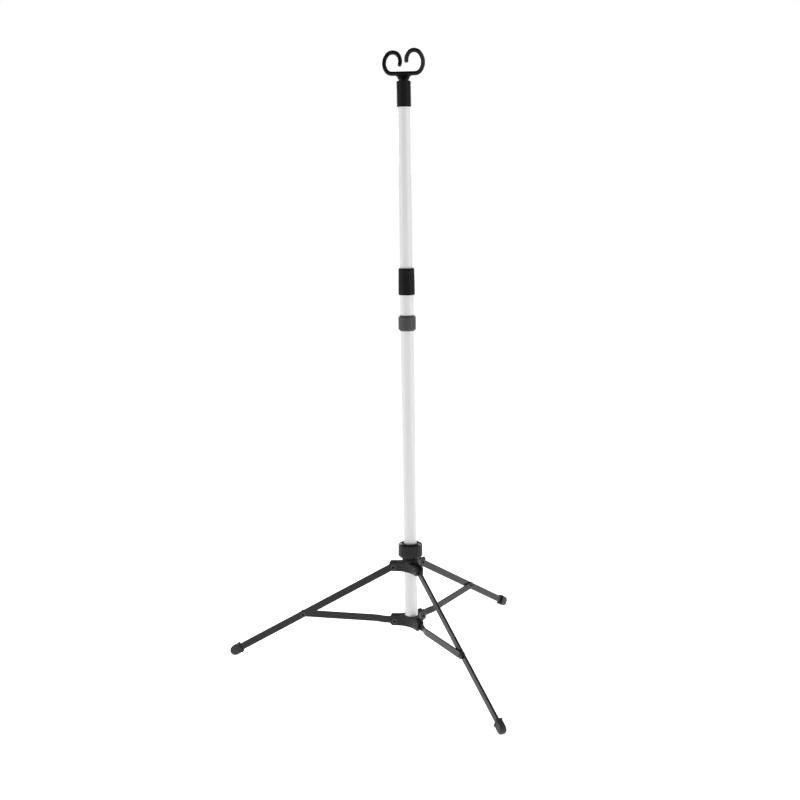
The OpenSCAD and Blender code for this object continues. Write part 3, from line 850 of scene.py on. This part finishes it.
def make_hook():
    # Rough closed shells first; a remesh joins them, and the points then settle on the smooth field.
    verts, faces, n, sides = [], [], len(path), 14
    for k in range(n):
        t = path[min(k + 1, n - 1)] - path[max(k - 1, 0)]
        t /= np.linalg.norm(t)
        up = np.array((0, math.cos(LEAN), math.sin(LEAN) * (1 if path[k][0] > 0 else -1)))
        u = up - t * (up @ t)
        u /= np.linalg.norm(u)
        w = np.cross(t, u)
        c = path[k] + (t * ROD * 0.7 if k == n - 1 else -t * ROD * 0.7 if k == 0 else 0)
        for s in range(sides):
            a = 2 * math.pi * s / sides
            verts.append(c + ROD * (math.cos(a) * u + math.sin(a) * w))
    for k in range(n - 1):
        for s in range(sides):
            q = (s + 1) % sides
            faces.append((k * sides + s, k * sides + q, (k + 1) * sides + q, (k + 1) * sides + s))
    faces.append(tuple(range(sides - 1, -1, -1)))
    faces.append(tuple((n - 1) * sides + s for s in range(sides)))
    for rows in ([(1223.4, 12.6, 12.6), (1232.0, 12.6, 12.6)], [(1230, 10.3, 10.3), (1234.2, 10.3, 10.3), (1238, 12, 9), (1243, 14.6, 5.6), (1247.5, 17.0, 3.9)]):
        b = len(verts)
        for z, a, c in rows:
            verts += [(a * math.cos(2 * math.pi * s / 40), c * math.sin(2 * math.pi * s / 40), z) for s in range(40)]
        for k in range(len(rows) - 1):
            for s in range(40):
                q = (s + 1) % 40
                faces.append((b + k * 40 + s, b + k * 40 + q, b + (k + 1) * 40 + q, b + (k + 1) * 40 + s))
        faces.append(tuple(b + s for s in range(39, -1, -1)))
        faces.append(tuple(b + (len(rows) - 1) * 40 + s for s in range(40)))
    o = mesh("Hook", verts, faces)
    m = o.modifiers.new("join", "REMESH")
    m.mode, m.voxel_size = "VOXEL", (0.00065)
    bpy.context.view_layer.update()
    me = bpy.data.meshes.new_from_object(o.evaluated_get(bpy.context.evaluated_depsgraph_get()))
    o.modifiers.clear()
    o.data = me
    p = np.zeros(len(me.vertices) * 3)
    me.vertices.foreach_get("co", p)
    p = p.reshape(-1, 3) * 1000
    e = np.zeros(len(me.edges) * 2, int)
    me.edges.foreach_get("vertices", e)
    e = e.reshape(-1, 2)
    count = np.bincount(e.ravel(), minlength=len(p))[:, None]

    def settle(p, times):
        for _ in range(times):
            f = hook_field(p)
            g = np.stack([hook_field(p + d) - hook_field(p - d) for d in np.eye(3) * 0.05], 1) / 0.1
            step = f / np.maximum((g * g).sum(1), 0.2)
            p = p - np.clip(step, -1.2, 1.2)[:, None] * g
        return p

    p = settle(p, 2)
    for _ in range(4):
        total = np.zeros_like(p)
        np.add.at(total, e[:, 0], p[e[:, 1]])
        np.add.at(total, e[:, 1], p[e[:, 0]])
        p = settle(p + 0.5 * (total / count - p), 1)
    p = settle(p, 1)
    me.vertices.foreach_set("co", (p / 1000).ravel())
    me.update()
    return dress(o, "mast", "hook", ["hook"], angle=60, weighted=False)


make_hook()

# ------------------------------------------------------------------ CAD nodes that stay
for node, mat in (("tube_plug", "nylon"), ("collet_body", "nylon"), ("clamp_ring", "nylon"), ("guide_plug", "nylon"), ("base_screw", "zinc")):
    o = frame["nodes"][node]
    if not o.material_slots:
        o.data.materials.append(M[mat])
    for s in o.material_slots:
        s.material = M[mat]


# ------------------------------------------------------------------ floor and light
def floor():
    t = Tree("Studio_floor")
    t.fixed(Base_Color=(0.9, 0.9, 0.9, 1), Roughness=0.7, Specular_IOR_Level=0.1, Emission_Color=(1, 1, 1, 1), Emission_Strength=0.97)
    n = 64
    verts = [(0, 0, -0.05)] + [(14000 * math.cos(2 * math.pi * k / n), 14000 * math.sin(2 * math.pi * k / n), -0.05) for k in range(n)]
    o = mesh("Floor", verts, [(0, 1 + k, 1 + (k + 1) % n) for k in range(n)])
    o.data.materials.append(t.m)


floor()


def softbox(name, azimuth, distance, height, size, power, aim=0.65):
    """azimuth 0 is on the camera's side, and positive is to its right."""
    a = math.radians(azimuth)
    data = bpy.data.lights.new(name, "AREA")
    data.shape, data.size, data.size_y, data.energy = "RECTANGLE", size[0], size[1], power
    o = bpy.data.objects.new(name, data)
    o.location = (distance * math.sin(a), -distance * math.cos(a), height)
    o.rotation_mode = "QUATERNION"
    o.rotation_quaternion = (Vector((0, 0, aim)) - o.location).to_track_quat("-Z", "Y")
    o.visible_camera = False
    bpy.context.scene.collection.objects.link(o)


softbox("Left_box", -72, 2.6, 1.1, (1.7, 2.6), 23)
softbox("Right_box", 70, 2.7, 1.1, (1.5, 2.6), 25)
softbox("Top_left_strip", -78, 1.5, 3.0, (0.5, 1.6), 9)
softbox("Top_right_strip", 78, 1.5, 3.0, (0.5, 1.6), 8)
softbox("Back_left_strip", -152, 2.4, 1.7, (0.45, 1.2), 20)
softbox("Back_right_strip", 150, 2.4, 1.7, (0.45, 1.2), 11)


def world():
    """Soft studio surround: white to the eye, and dimmer from above."""
    w = bpy.data.worlds.new("Studio")
    bpy.context.scene.world = w
    w.use_nodes = True
    t = w.node_tree
    t.nodes.clear()
    new, link = t.nodes.new, t.links.new
    at = new("ShaderNodeTexCoord").outputs["Generated"]
    sep = new("ShaderNodeSeparateXYZ")
    link(at, sep.inputs[0])

    def remap(v, a, b, c, d):
        n = new("ShaderNodeMapRange")
        n.interpolation_type = "SMOOTHSTEP"
        link(v, n.inputs["Value"])
        for k, x in (("From Min", a), ("From Max", b), ("To Min", c), ("To Max", d)):
            n.inputs[k].default_value = x
        return n.outputs["Result"]

    back = remap(sep.outputs["Y"], -0.5, 0.6, 0.32, 0.30)
    high = remap(sep.outputs["Z"], 0.25, 0.75, 1.0, 0.25)
    m = new("ShaderNodeMath")
    m.operation = "MULTIPLY"
    link(back, m.inputs[0])
    link(high, m.inputs[1])
    lit, seen = new("ShaderNodeBackground"), new("ShaderNodeBackground")
    link(m.outputs[0], lit.inputs["Strength"])
    lit.inputs["Color"].default_value = (1, 1, 1, 1)
    seen.inputs["Color"].default_value = (1, 1, 1, 1)
    seen.inputs["Strength"].default_value = 1.0
    ray = new("ShaderNodeLightPath")
    mix = new("ShaderNodeMixShader")
    link(ray.outputs["Is Camera Ray"], mix.inputs[0])
    link(lit.outputs[0], mix.inputs[1])
    link(seen.outputs[0], mix.inputs[2])
    out = new("ShaderNodeOutputWorld")
    link(mix.outputs[0], out.inputs["Surface"])


world()
bpy.context.scene.view_settings.view_transform = "Standard"
